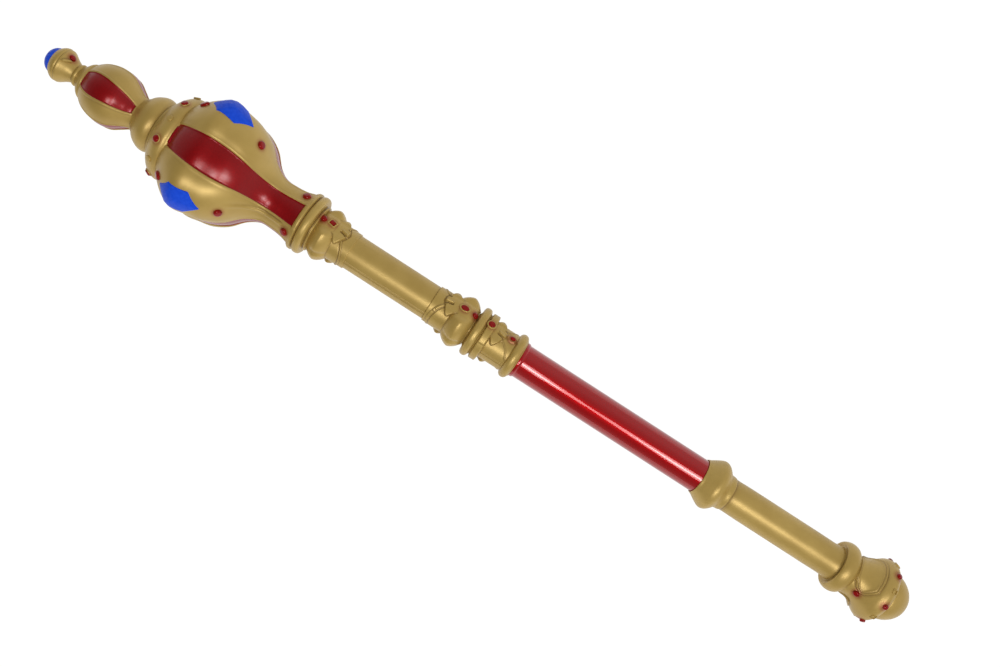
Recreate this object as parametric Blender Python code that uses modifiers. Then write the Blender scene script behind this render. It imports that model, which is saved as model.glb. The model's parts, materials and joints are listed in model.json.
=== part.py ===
"""A toy sceptre of moulded plastic, lying down as it would on a table.

It is modelled standing up: its axis is Z, the end of its pommel is at height 0 and its tip is at the top.
Three pieces make it: a gold head moulding, a red tube and a gold grip moulding. An empty then lays all
three down, with the side that was at +X upwards and the tip towards -X, resting on the bulb and the pommel.
"""

import math

import bmesh
import bpy
from mathutils import Vector

# ---------------------------------------------------------------- driving dimensions, in metres

LENGTH = 0.5307
PIECE_GAP = 0.0003
FLAT_DEPTH = 0.0006
TURNED_SIDES = 20

SHAFT_RADIUS = 0.0096
TUBE_RADIUS = 0.0093
TUBE_RIM = 0.0100
TUBE_RIM_LENGTH = 0.0022
TUBE_SEAT = 0.0055
HANDLE_RADIUS = 0.0093

# Heights above the end of the pommel, down the head moulding and then down the grip moulding
DOME_BASE = 0.5253
ONION_BOTTOM = 0.4762
CROWN_BOTTOM = 0.4484
FLANGE = 0.3745
BASE_RING = 0.3698
UPPER_BALL = 0.3612
SLEEVE_END = 0.3492
GROOVE = 0.2965
LOWER_BALL = 0.2787
KNUCKLE_RING = 0.2695
BAND_TOP = 0.2664
BAND_BOTTOM = 0.2620
TUBE_RING = 0.2455
HEAD_END = 0.2430
GRIP_TOP = 0.1296
NUT_CREST = 0.1209
NUT_BOTTOM = 0.1132
POMMEL_RING = 0.0403
POMMEL_NECK = 0.0343
POMMEL_BAND = 0.0179

# Turned stretches of the head moulding, as (radius, height) from the top down
DOME_RADIUS = 0.0068
COLLAR = ((0.0074, 0.5249), (0.0088, 0.5236), (0.0093, 0.5213), (0.0087, 0.5191), (0.0074, 0.5172))
NECK = ((0.0060, 0.5150), (0.0058, 0.5132))
NECK_BEAD = (0.5112, 0.0024, 0.0060, 0.0068)
FLARE = ((0.0070, 0.5098), (0.0088, 0.5082), (0.0102, 0.5057))
KNOP = ((0.0093, 0.4752), (0.0129, 0.4714), (0.0147, 0.4684), (0.0152, 0.4665), (0.0148, 0.4648))
KNOP_RING = ((0.0138, 0.4640), (0.0143, 0.4632), (0.0141, 0.4622))
CROWN = ((0.0168, 0.4602), (0.0196, 0.4562), (0.0226, 0.4529), (0.0238, 0.4504), (0.0234, CROWN_BOTTOM))
HIDDEN_CORE = 0.0070
BULB_CORE = 0.0120
FLANGE_RIM = ((0.0160, FLANGE + 0.0008), (0.0166, FLANGE), (0.0146, FLANGE - 0.0016))
UPPER_SLEEVE = ((0.0106, SLEEVE_END + 0.0030), (0.0104, SLEEVE_END + 0.0008), (SHAFT_RADIUS, SLEEVE_END))
BAND_MIDDLE = (BAND_TOP + BAND_BOTTOM) / 2
BAND_STEP = ((0.0130, BAND_TOP - 0.0004), (0.0134, BAND_MIDDLE), (0.0130, BAND_BOTTOM + 0.0003))

# Rounded rings, as (middle height, thickness, radius at the root, radius at the crest)
BASE_BEAD = (BASE_RING, 0.0056, 0.0146, 0.0166)
KNUCKLE_BEAD = (KNUCKLE_RING, 0.0052, 0.0112, 0.0141)
TUBE_BEAD = (TUBE_RING, 0.0050, 0.0104, 0.0126)
POMMEL_BEAD = (POMMEL_RING, 0.0094, 0.0100, 0.0140)
GROOVE_HALF_WIDTH = 0.0008
GROOVE_DEPTH = 0.0004

# The big bulb, as (height, value): four gold pillows with a sunk stripe between each two
BULB_OUTLINE = (
    (0.4490, 0.0219),
    (0.4452, 0.0252),
    (0.4392, 0.0290),
    (0.4330, 0.0313),
    (0.4246, 0.0305),
    (0.4156, 0.0286),
    (0.4076, 0.0241),
    (0.4008, 0.0175),
    (0.3940, 0.0140),
    (0.3872, 0.0137),
    (0.3810, 0.0144),
    (0.3745, 0.0165),
)
BULB_STRIPE = ((0.4490, 0.0050), (0.4392, 0.0062), (0.4246, 0.0079), (0.4076, 0.0064), (0.3745, 0.0060))
BULB_REST = 0.4330
BULB_NECK = 0.0137
BULB_BELLY = 0.0313
HEAD_TURN = 3
PILLOW_SWELL = 0.12
STRIPE_DEPTH = 0.0009
LIP_HEIGHT = 0.0005
LIP_WIDTH = 0.0012
LIP_CREST_SHARE = 0.4
LIP_FOOT_SHARE = 1.2

# The small onion bulb, with its four sunk petals
ONION_OUTLINE = (
    (0.5055, 0.0096),
    (0.5007, 0.0136),
    (0.4962, 0.0156),
    (0.4915, 0.0164),
    (0.4858, 0.0154),
    (0.4804, 0.0119),
    (0.4762, 0.0092),
)
ONION_PETAL = ((0.5055, 0.0036), (0.4990, 0.0056), (0.4915, 0.0049), (0.4804, 0.0022), (0.4762, 0.0014))
ONION_DEPTH = 0.0006

# The lobed balls: six sectors round the axis, two of them flat for a leaf; BALL_CURVE is 1 for a double
# cone and 2 for a round ball
BALL_LOBE = 0.0150
BALL_VALLEY = 0.0116
BALL_END = 0.0092
BALL_HALF_HEIGHT = 0.0066
BALL_CURVE = 1.4
BALL_CUT_OFF = 0.95
BALL_LEVELS = 3
BALL_SIDES = 24
LOBE_CURVE = 0.7
SEAT_HALF_TURN = 29
LEAF_TURNS = (37, 217)
SECTORS = 6

# The leaves: a fan of fingers that lies on the sleeve beside each ball; LEAF_FAN is how far the outer
# fingers draw back, in degrees
SLEEVE_RADIUS = 0.0106
LEAF_RISE = 0.0012
LEAF_ROOT = 0.0026
LEAF_ROOT_BOW = 0.0030
LEAF_FAN = 50
LEAF_HALF_TURN = 47
LEAF_LENGTH = 0.0105
LEAF_NOTCH = 0.0024
LEAF_FINGERS = 5

# The blue gems on the pillows, and the studs and small gems
BLUE_GEM_HEIGHT = 0.4280
BLUE_GEM_LENGTH = 0.0235
BLUE_GEM_WIDTH = 0.0148
BLUE_GEM_SIDE = 0.0117
BLUE_GEM_ROOT = 0.0040
BLUE_GEM_EDGE = 0.0002
BLUE_GEM_RISE = 0.0010
BLUE_GEM_TABLE = 0.86
STUD_RADIUS = 0.0024
STUD_RISE = 0.0012
STUD_ROOT = 0.0022
STUD_CROWN = 0.75
STUDS_AROUND = 12

# Studs on the pillows, as (name, height, slope); on the crown and pommel, as (turn, radius, height, slope)
PILLOW_STUDS = (("pillow", 0.4100, -38), ("foot", 0.3790, 12))
CROWN_STUD = (18, 0.0203, 0.4553, 42)
POMMEL_STUD = (15, 0.0169, 0.0165, -14)
CUP_GEM = (0.0131, 0.0275, -30)

# Gems in line with each leaf, as (name, radius, height, slope, tallness, root)
LEAF_GEMS = (
    ("tip_gem", 0.0070, 0.5168, -30, 1.0, STUD_ROOT),
    ("ball_gem", 0.0112, UPPER_BALL + 0.0052, 0, 1.0, STUD_ROOT),
    ("upper_gem", SLEEVE_RADIUS + LEAF_RISE, UPPER_BALL - 0.0012, 0, 1.0, STUD_ROOT),
    ("middle_gem", SLEEVE_RADIUS + LEAF_RISE, LOWER_BALL + 0.0012, 0, 1.3, STUD_ROOT),
    ("groove_gem", 0.0112, LOWER_BALL - 0.0047, 0, 1.0, 0.0014),
    ("band_gem", 0.0128, BAND_MIDDLE, 0, 1.0, STUD_ROOT),
    ("sleeve_gem", SLEEVE_RADIUS, TUBE_RING + 0.0058, 0, 1.0, 0.0006),
)

# The leaves, as (name, root height, direction): +1 points to the tip, -1 to the pommel
LEAVES = (
    ("upper_leaf", UPPER_BALL - 0.0010, -1),
    ("middle_leaf", LOWER_BALL + 0.0014, 1),
    ("lower_leaf", BAND_BOTTOM + 0.0024, -1),
)

# The pommel: its turned outline, and the four shields on its cup as (height, half turn, skin radius)
NUT = ((0.0098, GRIP_TOP), (0.0103, GRIP_TOP - 0.0014), (0.0134, NUT_CREST + 0.0022), (0.0141, NUT_CREST))
NUT_FOOT = ((0.0134, NUT_CREST - 0.0024), (0.0100, NUT_BOTTOM + 0.0012), (HANDLE_RADIUS, NUT_BOTTOM))
CUP = ((0.0109, POMMEL_NECK), (0.0112, 0.0306), (0.0126, 0.0268), (0.0152, 0.0230), (0.0170, 0.0204))
BAND = ((0.0177, POMMEL_BAND), (0.0174, 0.0160), (0.0156, 0.0139), (0.0135, 0.0128))
POMMEL_REST = 0.0177
POMMEL_DOME = 0.0133
POMMEL_DOME_HEIGHT = 0.0122
POMMEL_TURN = 8
SHIELD = (
    (0.0334, 22, 0.0109),
    (0.0302, 39, 0.0114),
    (0.0268, 42, 0.0127),
    (0.0242, 33, 0.0144),
    (0.0228, 14, 0.0154),
)
SHIELD_COLUMNS = (-1, -0.6, -0.2, 0.2, 0.6, 1)
SHIELD_RISE = 0.0006
SHIELD_ROOT = 0.0030

# The table top that presses the flat spots
TABLE_WIDTH = 0.20
TABLE_DEPTH = 0.01

# Finishes: name, colour, metallic, roughness
GOLD_PAINT = ("satin_gold_paint", (0.42, 0.29, 0.08), 0.55, 0.38)
RED_LACQUER = ("gloss_red_metallic_paint", (0.35, 0.01, 0.012), 0.35, 0.18)


# ---------------------------------------------------------------- outlines


def bead(height, thickness, root, crest, points=5):
    """The outline of a rounded ring, from its upper edge to its lower edge, as (radius, height)."""
    outline = []
    for step in range(points):
        angle = math.pi * step / (points - 1)
        radius = root + (crest - root) * math.sin(angle)
        outline.append((radius, height + thickness / 2 * math.cos(angle)))
    return outline


def dome(tip, base, radius, points):
    """A blunt dome from its tip on the axis to its base, as (radius, height)."""
    outline = []
    for step in range(points):
        angle = math.pi / 2 * step / (points - 1)
        outline.append((radius * math.sin(angle) ** 0.8, base + (tip - base) * math.cos(angle)))
    return outline


def along(points, height):
    """The value at a height, on a smooth curve through (height, value) points listed from the top down."""
    if height >= points[0][0]:
        return points[0][1]
    for (above, start), (below, end) in zip(points, points[1:]):
        if height >= below:
            break
    else:
        return points[-1][1]
    index = points.index((above, start))
    before = points[max(index - 1, 0)]
    after = points[min(index + 2, len(points) - 1)]
    slope_in = (end - before[1]) / (below - before[0])
    slope_out = (after[1] - start) / (after[0] - above)
    span = below - above
    u = (height - above) / span
    return (
        (2 * u**3 - 3 * u**2 + 1) * start
        + (u**3 - 2 * u**2 + u) * span * slope_in
        + (3 * u**2 - 2 * u**3) * end
        + (u**3 - u**2) * span * slope_out
    )


def socket_outline(mouth, inward):
    """The blind hole that a tube end sits in, from its mouth to its floor on the axis."""
    seat = TUBE_RADIUS + PIECE_GAP
    return [(seat, mouth), (seat, mouth + inward * TUBE_SEAT), (0.0, mouth + inward * TUBE_SEAT)]


def finial_outline():
    """Tip dome, collar, neck, bead and flare, then the hidden core under the onion bulb."""
    outline = dome(LENGTH, DOME_BASE, DOME_RADIUS, 4) + list(COLLAR + NECK)
    outline += bead(*NECK_BEAD, points=4) + list(FLARE)
    return outline + [(HIDDEN_CORE, 0.5046), (HIDDEN_CORE, ONION_BOTTOM + 0.0020)]


def knop_outline():
    """Knop and crown ring, then the hidden core under the big bulb."""
    outline = [(0.0090, ONION_BOTTOM + 0.0010)] + list(KNOP + KNOP_RING + CROWN)
    return outline + [(BULB_CORE, CROWN_BOTTOM - 0.0010), (BULB_CORE, FLANGE + 0.0030)]


def shaft_outline():
    """Base ring, seat of the upper ball, sleeve and upper shaft."""
    outline = list(FLANGE_RIM) + bead(*BASE_BEAD)
    outline += [(0.0112, BASE_RING - 0.0034)] + list(UPPER_SLEEVE)
    outline += [(SHAFT_RADIUS, GROOVE + GROOVE_HALF_WIDTH), (SHAFT_RADIUS - GROOVE_DEPTH, GROOVE)]
    return outline + [(SHAFT_RADIUS, GROOVE - GROOVE_HALF_WIDTH)]


def knuckle_outline():
    """Sleeve, seat of the lower ball, ring, band, sleeve and the ring that holds the tube."""
    outline = [(0.0105, LOWER_BALL + BALL_HALF_HEIGHT + 0.0030), (SLEEVE_RADIUS, KNUCKLE_RING + 0.0036)]
    outline += bead(*KNUCKLE_BEAD) + list(BAND_STEP) + [(SLEEVE_RADIUS, BAND_BOTTOM)]
    return outline + [(SLEEVE_RADIUS, TUBE_RING + 0.0030)] + bead(*TUBE_BEAD)


def head_outline():
    """The turned body of the head moulding, from its tip to the socket for the tube."""
    upper = finial_outline() + knop_outline() + shaft_outline()
    return upper + knuckle_outline() + socket_outline(HEAD_END, 1)


def grip_outline():
    """The turned body of the grip moulding, from the socket for the tube to the end of the pommel."""
    outline = socket_outline(GRIP_TOP, -1)[::-1] + list(NUT + NUT_FOOT)
    outline += [(HANDLE_RADIUS, POMMEL_RING + 0.0049)]
    outline += bead(*POMMEL_BEAD, points=7) + list(CUP + BAND)
    return outline + dome(0.0, POMMEL_DOME_HEIGHT, POMMEL_DOME, 6)[-2::-1]


def tube_outline():
    """The tube, with the low rim that its paint leaves under the head moulding."""
    top = HEAD_END + TUBE_SEAT - PIECE_GAP
    bottom = GRIP_TOP - TUBE_SEAT + PIECE_GAP
    rim_top = HEAD_END - PIECE_GAP
    rim = [(TUBE_RADIUS, rim_top), (TUBE_RIM, rim_top), (TUBE_RIM, rim_top - TUBE_RIM_LENGTH)]
    rim += [(TUBE_RADIUS, rim_top - TUBE_RIM_LENGTH)]
    return [(0.0, top), (TUBE_RADIUS, top)] + rim + [(TUBE_RADIUS, bottom), (0.0, bottom)]


# ---------------------------------------------------------------- shaped surfaces


def bulb_radius(height, turn):
    """The bulb's gold skin before its stripes are sunk: a circle that swells between the stripes."""
    flat = along(BULB_OUTLINE, height)
    fullness = max(0.0, (flat - BULB_NECK) / (BULB_BELLY - BULB_NECK))
    return flat * (1 + PILLOW_SWELL * fullness * math.sin(2 * turn) ** 2)


def onion_radius(height, turn):
    return along(ONION_OUTLINE, height)


def striped_ring(height, radius_at, half_width, depth):
    """One section through a bulb: four sunk stripes, each between two raised lips."""
    radius = radius_at(height, 0.0)
    floor_edge = math.asin(half_width / radius)
    lip = LIP_WIDTH / radius
    pillow_edge = floor_edge + lip * LIP_FOOT_SHARE
    offsets = (
        (0.0, -depth),
        (floor_edge, -depth),
        (floor_edge + lip * LIP_CREST_SHARE, LIP_HEIGHT),
        (pillow_edge, 0.0),
        ((pillow_edge + math.pi / 4) / 2, 0.0),
        (math.pi / 4, 0.0),
    )
    section = [(-angle, rise) for angle, rise in reversed(offsets[1:-1])] + list(offsets)
    ring = []
    for quarter in range(4):
        for angle, rise in section:
            turn = math.radians(HEAD_TURN + 90 * quarter) + angle
            distance = radius_at(height, angle) + rise
            ring.append((distance * math.cos(turn), distance * math.sin(turn), height))
    return ring


def striped_bulb(name, outline, radius_at, stripe, depth, collection):
    rings = []
    for height, _ in outline:
        rings.append(striped_ring(height, radius_at, along(stripe, height), depth))
    return loft(name, rings, collection)


def from_leaf(turn):
    """How far round a direction is from the nearest leaf, in degrees."""
    return min(abs((turn - leaf + 180) % 360 - 180) for leaf in LEAF_TURNS)


def lobed_ball(name, middle, collection):
    """A ball of lobes, with flat sectors under the leaves."""
    rings = []
    for step in range(2 * BALL_LEVELS + 1):
        level = BALL_CUT_OFF * (1 - step / BALL_LEVELS)
        arch = (1 - abs(level) ** BALL_CURVE) ** (1 / BALL_CURVE)
        ring = []
        for side in range(BALL_SIDES):
            turn = LEAF_TURNS[0] + 360 / BALL_SIDES * side
            swell = abs(math.cos(math.radians(SECTORS / 2 * (turn - LEAF_TURNS[0])))) ** LOBE_CURVE
            lobe = 0.0 if from_leaf(turn) < SEAT_HALF_TURN else swell
            crest = BALL_VALLEY + (BALL_LOBE - BALL_VALLEY) * lobe
            distance = BALL_END + (crest - BALL_END) * arch
            ring.append(on_skin(turn, distance, middle + level * BALL_HALF_HEIGHT))
        rings.append(ring)
    return loft(name, rings, collection, twisted=True)


def leaf_shape(name, turn, root, direction, collection):
    """A fan of fingers on the sleeve; direction is +1 where it points to the tip, -1 to the pommel."""
    columns = LEAF_FINGERS * 2 - 1
    roots, tips = [], []
    for index in range(columns):
        across = -1 + 2 * index / (columns - 1)
        reach = LEAF_LENGTH * math.cos(math.radians(LEAF_FAN * across)) - LEAF_NOTCH * (index % 2)
        bow = LEAF_ROOT_BOW * (1 - abs(across))
        roots.append((turn + across * LEAF_HALF_TURN, root - direction * bow))
        tips.append((turn + across * LEAF_HALF_TURN, root + direction * reach))
    outline = roots + tips[::-1]
    body = bmesh.new()
    levels = []
    for distance in (SLEEVE_RADIUS - LEAF_ROOT, SLEEVE_RADIUS + LEAF_RISE):
        levels.append([body.verts.new(on_skin(angle, distance, height)) for angle, height in outline])
    for inner, outer in zip(*(list(zip(level, level[1:] + level[:1])) for level in levels)):
        body.faces.new((*inner, outer[1], outer[0]))
    last = len(outline) - 1
    for level in levels:
        for i in range(columns - 1):
            body.faces.new((level[i], level[i + 1], level[last - i - 1], level[last - i]))
    return closed_object(name, body, collection, twisted=True)


def blue_gem(name, turn, collection):
    """A long hexagon with bevelled edges that follows the crest of a pillow."""
    half_length = BLUE_GEM_LENGTH / 2
    half_side = BLUE_GEM_SIDE / 2
    half_width = BLUE_GEM_WIDTH / 2
    corners = [(half_length, 0.0), (half_side, half_width), (-half_side, half_width)]
    corners += [(-upward, -sideways) for upward, sideways in corners]
    rings = []
    for shrink, rise in ((1.0, -BLUE_GEM_ROOT), (1.0, BLUE_GEM_EDGE), (BLUE_GEM_TABLE, BLUE_GEM_RISE)):
        ring = []
        for upward, sideways in corners:
            height = BLUE_GEM_HEIGHT + upward * shrink
            skin = bulb_radius(height, math.pi / 4)
            ring.append(Vector((skin + rise, sideways * shrink, height)))
        rings.append(ring)
    made = loft(name, rings, collection)
    made.rotation_euler = (0, 0, math.radians(turn))
    return made


def shield(name, turn, collection):
    """A shield that lies on the flared cup, its round end towards the pommel's band."""
    rings = []
    for height, half_turn, skin in SHIELD:
        ring = []
        for share in SHIELD_COLUMNS:
            ring.append(on_skin(turn + share * half_turn, skin + SHIELD_RISE, height))
        for share in (1, -1):
            ring.append(on_skin(turn + share * half_turn, skin - SHIELD_ROOT, height))
        rings.append(ring)
    return loft(name, rings, collection)


def stud(name, turn, distance, height, collection, slope=0.0, tall=1.0, root=STUD_ROOT):
    """A low six-sided gem or stud that stands on the skin; slope tips it towards the tip, in degrees."""
    body = bmesh.new()
    bmesh.ops.create_cone(
        body,
        cap_ends=True,
        segments=6,
        radius1=STUD_RADIUS,
        radius2=STUD_RADIUS * STUD_CROWN,
        depth=root + STUD_RISE,
    )
    bmesh.ops.scale(body, vec=(tall, 1.0, 1.0), verts=body.verts)
    bmesh.ops.translate(body, vec=(0, 0, (STUD_RISE - root) / 2), verts=body.verts)
    made = closed_object(name, body, collection)
    made.rotation_euler = (0, math.radians(90 - slope), math.radians(turn))
    made.location = on_skin(turn, distance, height)
    return made


# ---------------------------------------------------------------- making objects


def clear_scene():
    for leftover in list(bpy.data.objects):
        bpy.data.objects.remove(leftover)


def new_collection(name, hidden=False):
    made = bpy.data.collections.new(name)
    made.hide_render = hidden
    bpy.context.scene.collection.children.link(made)
    return made


def paint(finish):
    name, colour, metallic, roughness = finish
    material = bpy.data.materials.new(name)
    material.use_nodes = True
    shader = material.node_tree.nodes["Principled BSDF"]
    shader.inputs["Base Color"].default_value = (*colour, 1.0)
    shader.inputs["Metallic"].default_value = metallic
    shader.inputs["Roughness"].default_value = roughness
    return material


def on_skin(turn, distance, height):
    """The point at a turn round the axis in degrees, a distance from the axis and a height."""
    angle = math.radians(turn)
    return Vector((distance * math.cos(angle), distance * math.sin(angle), height))


def helper_object(name, mesh, collection):
    """A shape that is joined to a piece or cut from it, and is left out itself."""
    made = bpy.data.objects.new(name, mesh)
    made.hide_render = True
    made.display_type = "WIRE"
    collection.objects.link(made)
    return made


def closed_object(name, body, collection, twisted=False):
    """Makes a helper from a closed body; twisted faces are split, so that a Boolean can cut them."""
    bmesh.ops.recalc_face_normals(body, faces=body.faces)
    if twisted:
        bmesh.ops.triangulate(body, faces=body.faces)
    mesh = bpy.data.meshes.new(name)
    body.to_mesh(mesh)
    body.free()
    return helper_object(name, mesh, collection)


def loft(name, rings, collection, twisted=False):
    """A closed skin through rings of equal counts, listed from the top down."""
    body = bmesh.new()
    levels = [[body.verts.new(point) for point in ring] for ring in rings]
    for upper, lower in zip(levels, levels[1:]):
        for i in range(len(upper)):
            following = (i + 1) % len(upper)
            body.faces.new((upper[i], lower[i], lower[following], upper[following]))
    body.faces.new(levels[0])
    body.faces.new(levels[-1])
    return closed_object(name, body, collection, twisted)


def turned(name, outline, collection, material):
    """A profile at +X, listed from top to bottom, turned round Z."""
    mesh = bpy.data.meshes.new(name)
    points = [(radius, 0.0, height) for radius, height in outline]
    mesh.from_pydata(points, [(i, i + 1) for i in range(len(points) - 1)], [])
    mesh.materials.append(material)
    made = bpy.data.objects.new(name, mesh)
    collection.objects.link(made)
    screw = made.modifiers.new("Turn", "SCREW")
    screw.axis = "Z"
    screw.steps = TURNED_SIDES
    screw.render_steps = TURNED_SIDES
    screw.use_merge_vertices = True
    screw.merge_threshold = 0.00001
    return made


def join(piece, additions, label):
    union = piece.modifiers.new(label, "BOOLEAN")
    union.operation = "UNION"
    union.operand_type = "COLLECTION"
    union.collection = additions
    union.solver = "EXACT"


# ---------------------------------------------------------------- the three pieces


def head_bulbs():
    bulbs = new_collection("head_bulbs", hidden=True)
    striped_bulb("bulb", BULB_OUTLINE, bulb_radius, BULB_STRIPE, STRIPE_DEPTH, bulbs)
    striped_bulb("onion", ONION_OUTLINE, onion_radius, ONION_PETAL, ONION_DEPTH, bulbs)
    lobed_ball("upper_ball", UPPER_BALL, bulbs)
    lobed_ball("lower_ball", LOWER_BALL, bulbs)
    return bulbs


def head_carving():
    """Gems, studs and leaves of the head moulding."""
    carving = new_collection("head_carving", hidden=True)
    for quarter in range(4):
        turn = HEAD_TURN + 45 + 90 * quarter
        blue_gem(f"blue_gem_{quarter}", turn, carving)
        for name, height, slope in PILLOW_STUDS:
            stud(f"{name}_stud_{quarter}", turn, bulb_radius(height, math.pi / 4), height, carving, slope)
    first, radius, height, slope = CROWN_STUD
    for index in range(STUDS_AROUND):
        stud(f"crown_stud_{index}", first + 360 / STUDS_AROUND * index, radius, height, carving, slope)
    for turn in LEAF_TURNS:
        for name, root, direction in LEAVES:
            leaf_shape(f"{name}_{turn}", turn, root, direction, carving)
        for name, radius, height, slope, tall, root in LEAF_GEMS:
            stud(f"{name}_{turn}", turn, radius, height, carving, slope, tall, root)
    return carving


def grip_carving():
    """Shields, gems and studs of the pommel."""
    carving = new_collection("grip_carving", hidden=True)
    for quarter in range(4):
        turn = POMMEL_TURN + 90 * quarter
        shield(f"shield_{quarter}", turn, carving)
        radius, height, slope = CUP_GEM
        stud(f"cup_gem_{quarter}", turn + 45, radius, height, carving, slope)
    first, radius, height, slope = POMMEL_STUD
    for index in range(STUDS_AROUND):
        stud(f"pommel_stud_{index}", first + 360 / STUDS_AROUND * index, radius, height, carving, slope)
    return carving


# ---------------------------------------------------------------- lying down


def lay_down(objects):
    """Tilts the axis so that bulb and pommel touch the table together, each with its small flat spot."""
    bulb_rest = along(BULB_OUTLINE, BULB_REST)
    tilt = math.atan2(bulb_rest - POMMEL_REST, BULB_REST - POMMEL_BAND)
    stand = bpy.data.objects.new("sceptre_lying", None)
    bpy.context.scene.collection.objects.link(stand)
    stand.rotation_euler = (0, tilt - math.pi / 2, 0)
    stand.location.z = POMMEL_REST * math.cos(tilt) - POMMEL_BAND * math.sin(tilt) - FLAT_DEPTH
    for item in objects:
        item.parent = stand
    return stand


def cut_flats(pieces, cutters):
    """The table top takes off whatever would reach below it."""
    body = bmesh.new()
    bmesh.ops.create_cube(body, size=1.0)
    bmesh.ops.scale(body, vec=(2 * LENGTH, TABLE_WIDTH, TABLE_DEPTH), verts=body.verts)
    bmesh.ops.translate(body, vec=(0, 0, -TABLE_DEPTH / 2), verts=body.verts)
    table = closed_object("table_top", body, cutters)
    for piece in pieces:
        flat = piece.modifiers.new("Flat spot", "BOOLEAN")
        flat.operation = "DIFFERENCE"
        flat.solver = "EXACT"
        flat.object = table


def centre_box(stand, pieces):
    """Moves the lying sceptre along its length until its box is centred on the origin."""
    bpy.context.view_layer.update()
    graph = bpy.context.evaluated_depsgraph_get()
    reach = []
    for piece in pieces:
        evaluated = piece.evaluated_get(graph)
        reach += [(evaluated.matrix_world @ vertex.co).x for vertex in evaluated.data.vertices]
    stand.location.x -= (min(reach) + max(reach)) / 2


def main():
    clear_scene()
    parts = new_collection("sceptre")
    gold = paint(GOLD_PAINT)
    head = turned("head_moulding", head_outline(), parts, gold)
    tube = turned("red_tube", tube_outline(), parts, paint(RED_LACQUER))
    grip = turned("grip_moulding", grip_outline(), parts, gold)
    bulbs, carving, pommel = head_bulbs(), head_carving(), grip_carving()
    join(head, bulbs, "Bulbs")
    join(head, carving, "Carving")
    join(grip, pommel, "Carving")
    helpers = list(bulbs.objects) + list(carving.objects) + list(pommel.objects)
    stand = lay_down([head, tube, grip] + helpers)
    cut_flats((head, grip), new_collection("cutters", hidden=True))
    centre_box(stand, (head, tube, grip))


main()
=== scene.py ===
# %% [markdown]
# # A toy sceptre of moulded plastic
#
# The real thing is three pieces of thin plastic: a gold head moulding, a glossy red tube and a gold grip
# moulding. The gold ones are cast in a mould of two halves, sprayed gold and painted by hand with red and
# blue. This lesson turns the plain stretches as on a lathe, stamps and rolls those with relief, lays the
# small ornaments on top, and at the end puts the whole sceptre down on its side.
#
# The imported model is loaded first. It fixes the size and the place of everything that follows.

# %% Load the frame
import json
import math

import bmesh
import bpy
import numpy as np
from mathutils import Matrix, Vector
from mathutils.bvhtree import BVHTree

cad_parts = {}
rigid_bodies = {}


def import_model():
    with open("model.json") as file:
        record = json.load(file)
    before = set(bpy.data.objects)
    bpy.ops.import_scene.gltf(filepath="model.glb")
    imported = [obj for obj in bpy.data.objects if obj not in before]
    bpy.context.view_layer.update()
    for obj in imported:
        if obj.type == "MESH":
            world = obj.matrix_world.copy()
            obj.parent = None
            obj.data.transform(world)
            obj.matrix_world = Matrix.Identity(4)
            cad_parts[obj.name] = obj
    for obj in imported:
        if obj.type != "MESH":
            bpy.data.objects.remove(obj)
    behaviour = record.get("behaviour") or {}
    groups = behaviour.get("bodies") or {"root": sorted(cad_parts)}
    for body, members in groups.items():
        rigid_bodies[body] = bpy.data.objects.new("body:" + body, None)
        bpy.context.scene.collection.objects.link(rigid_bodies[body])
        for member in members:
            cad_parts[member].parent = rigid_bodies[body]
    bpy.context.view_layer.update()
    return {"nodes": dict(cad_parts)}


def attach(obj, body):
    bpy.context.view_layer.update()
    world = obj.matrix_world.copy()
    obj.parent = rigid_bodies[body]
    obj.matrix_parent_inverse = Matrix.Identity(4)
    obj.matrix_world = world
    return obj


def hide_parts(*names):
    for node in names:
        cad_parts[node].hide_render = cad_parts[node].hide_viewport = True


for leftover in list(bpy.data.objects):
    bpy.data.objects.remove(leftover)
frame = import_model()

# %% [markdown]
# Everything is modelled standing up, because a turned piece is easiest round the Z axis: the pommel ends at
# height 0 and the tip points up. The sceptre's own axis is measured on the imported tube, as the line between
# the middles of the boxes round its two ends.

# %% Find the sceptre's axis
MM = 0.001


def corners(node):
    return [vertex.co.copy() for vertex in frame["nodes"][node].data.vertices]


def box_middle(points):
    return Vector([(min(values) + max(values)) / 2 for values in zip(*points)])


tube_points = corners("red_tube")
tube_middle = box_middle(tube_points)
tube_end = 0.9 * (max(point.x for point in tube_points) - tube_middle.x)
head_side = box_middle([point for point in tube_points if point.x < tube_middle.x - tube_end])
grip_side = box_middle([point for point in tube_points if point.x > tube_middle.x + tube_end])
axis = (head_side - grip_side).normalized()
pommel_reach = min((point - grip_side).dot(axis) for point in corners("grip_moulding"))
tip_reach = max((point - grip_side).dot(axis) for point in corners("head_moulding"))
LENGTH = (tip_reach - pommel_reach) / MM
upward = (Vector((0, 0, 1)) - axis * axis.z).normalized()
LYING = Matrix((upward, axis.cross(upward), axis)).transposed().to_4x4()
LYING.translation = grip_side + axis * pommel_reach
lean = math.degrees(math.asin(axis.z))
print(f"the sceptre is {LENGTH:.1f} mm long and lies {lean:.2f} degrees off level")

# %% [markdown]
# A Bezier curve draws half of each outline, from the top down. Its points are (radius, height) in
# millimetres, on smooth handles; a third word makes a crisp corner. The curve becomes a mesh, a spin round
# the Z axis turns it, and the seam and the poles are merged.

# %% A lathe
FINE = 96  # columns round a turned piece
SMOOTH = 6  # steps between two points of an outline
WELD = 0.000002  # metres; points closer than this are one point


def deselect():
    if bpy.context.object and bpy.context.object.mode != "OBJECT":
        bpy.ops.object.mode_set(mode="OBJECT")
    bpy.ops.object.select_all(action="DESELECT")


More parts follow.
